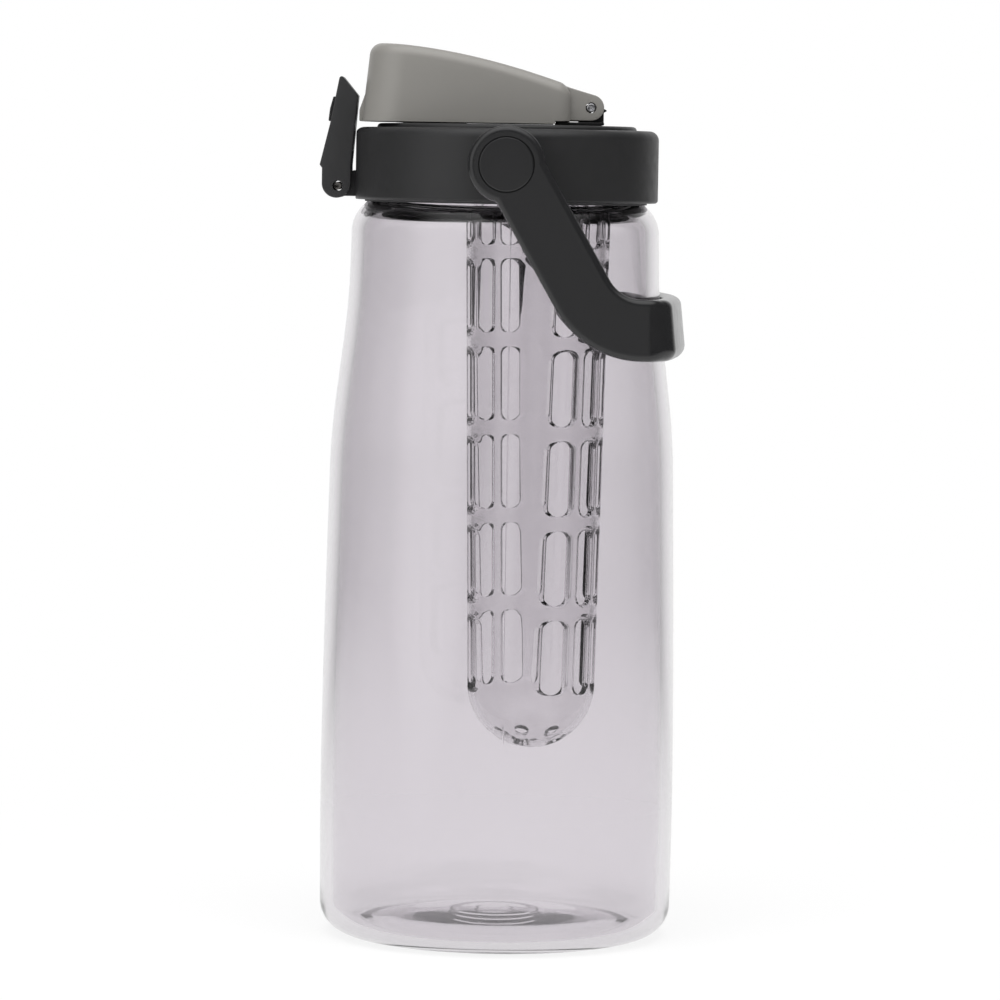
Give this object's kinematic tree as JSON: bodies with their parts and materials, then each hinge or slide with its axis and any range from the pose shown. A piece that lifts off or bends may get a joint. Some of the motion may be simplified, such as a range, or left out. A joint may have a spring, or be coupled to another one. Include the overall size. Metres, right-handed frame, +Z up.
{
  "type": "infuser jug",
  "caption": "Clear screw-top infuser jug with a flip cap over its spout, a snap latch, a swinging carry handle and a slotted infuser tube hung inside.",
  "frame": {"origin": "bottom centre, on the plane that the foot ring rests on", "axes": "+Z up along the body's axis; +X towards the cap's hinge and the handle's grip, the latch is at -X; the handle pivots lie on Y"},
  "size_m": [0.1167, 0.113, 0.2835],
  "materials": {
    "clear_plastic": "clear, slightly smoky",
    "dark_plastic": "satin dark grey",
    "black_plastic": "black",
    "grey_plastic": "satin mid grey",
    "silicone": "matt",
    "steel": "polished ends"
  },
  "bodies": {
    "bottle": {"bottle_body": "clear_plastic", "neck_ring": "silicone"},
    "lid_seal": {"mouth_gasket": "silicone"},
    "lid": {"lid_collar": "dark_plastic", "lid_deck": "dark_plastic", "spout": "grey_plastic", "vent_valve": "silicone", "hinge_bracket": "black_plastic", "cap_hinge_pin": "steel", "latch_pin": "steel", "pivot_button_near": "dark_plastic", "pivot_button_far": "dark_plastic"},
    "cap": {"flip_cap": "grey_plastic", "spout_seal": "silicone"},
    "latch": {"latch_lever": "dark_plastic", "latch_pad": "black_plastic"},
    "handle": {"carry_handle": "dark_plastic"},
    "infuser": {"infuser_tube": "clear_plastic", "infuser_gasket": "silicone"}
  },
  "joints": [
    {"name": "lid_lift", "type": "slide", "parent": "bottle", "child": "lid_seal", "axis": [0, 0, 1], "range_m": [0, 0.21]},
    {"name": "lid_twist", "type": "hinge", "parent": "lid_seal", "child": "lid", "pos_m": [0, 0, 0.2512], "axis": [0, 0, 1], "range_deg": [0, 360]},
    {"name": "cap_hinge", "type": "hinge", "parent": "lid", "child": "cap", "pos_m": [0.0263, 0, 0.26422], "axis": [0, 1, 0], "range_deg": [0, 130]},
    {"name": "latch_hinge", "type": "hinge", "parent": "lid", "child": "latch", "pos_m": [-0.0534, 0, 0.23843], "axis": [0, -1, 0], "range_deg": [0, 120]},
    {"name": "handle_swing", "type": "hinge", "parent": "lid", "child": "handle", "pos_m": [0, 0, 0.24603], "axis": [0, -1, 0], "range_deg": [0, 258]},
    {"name": "infuser_twist", "type": "hinge", "parent": "lid", "child": "infuser", "pos_m": [0.0105, 0, 0.25372], "axis": [0, 0, 1], "range_deg": [0, 90]}
  ]
}
